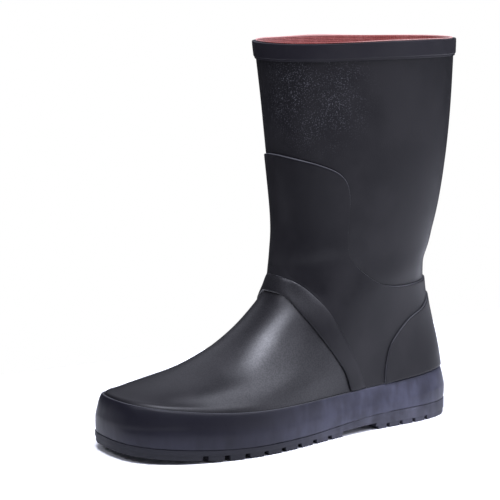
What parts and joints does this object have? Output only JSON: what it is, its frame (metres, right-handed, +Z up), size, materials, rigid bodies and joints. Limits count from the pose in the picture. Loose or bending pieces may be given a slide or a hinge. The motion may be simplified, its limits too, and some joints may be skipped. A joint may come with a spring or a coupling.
{
  "type": "rubber boot",
  "caption": "Mid-calf pull-on rubber boot with a wide open collar, raised instep band, moulded leg overlay, heel counter, foxing strip and lugged sole.",
  "frame": {"origin": "under the middle of the boot, on the ground its lugs stand on", "axes": "+Z up out of the collar, +Y from the toe to the heel, +X to the outer side of this left boot"},
  "size_m": [0.1154, 0.3016, 0.2958],
  "materials": {
    "outsole_rubber": "matte moulded",
    "lining_fabric": "fine knit",
    "upper_rubber": "satin",
    "foxing_rubber": "dull satin",
    "overlay_rubber": "satin",
    "collar_rubber": "satin"
  },
  "bodies": {
    "root": {"outsole": "outsole_rubber", "insole": "lining_fabric", "upper": "upper_rubber", "foxing": "foxing_rubber", "instep_band": "overlay_rubber", "leg_overlay": "overlay_rubber", "heel_counter": "overlay_rubber", "collar_band": "collar_rubber"}
  },
  "joints": []
}
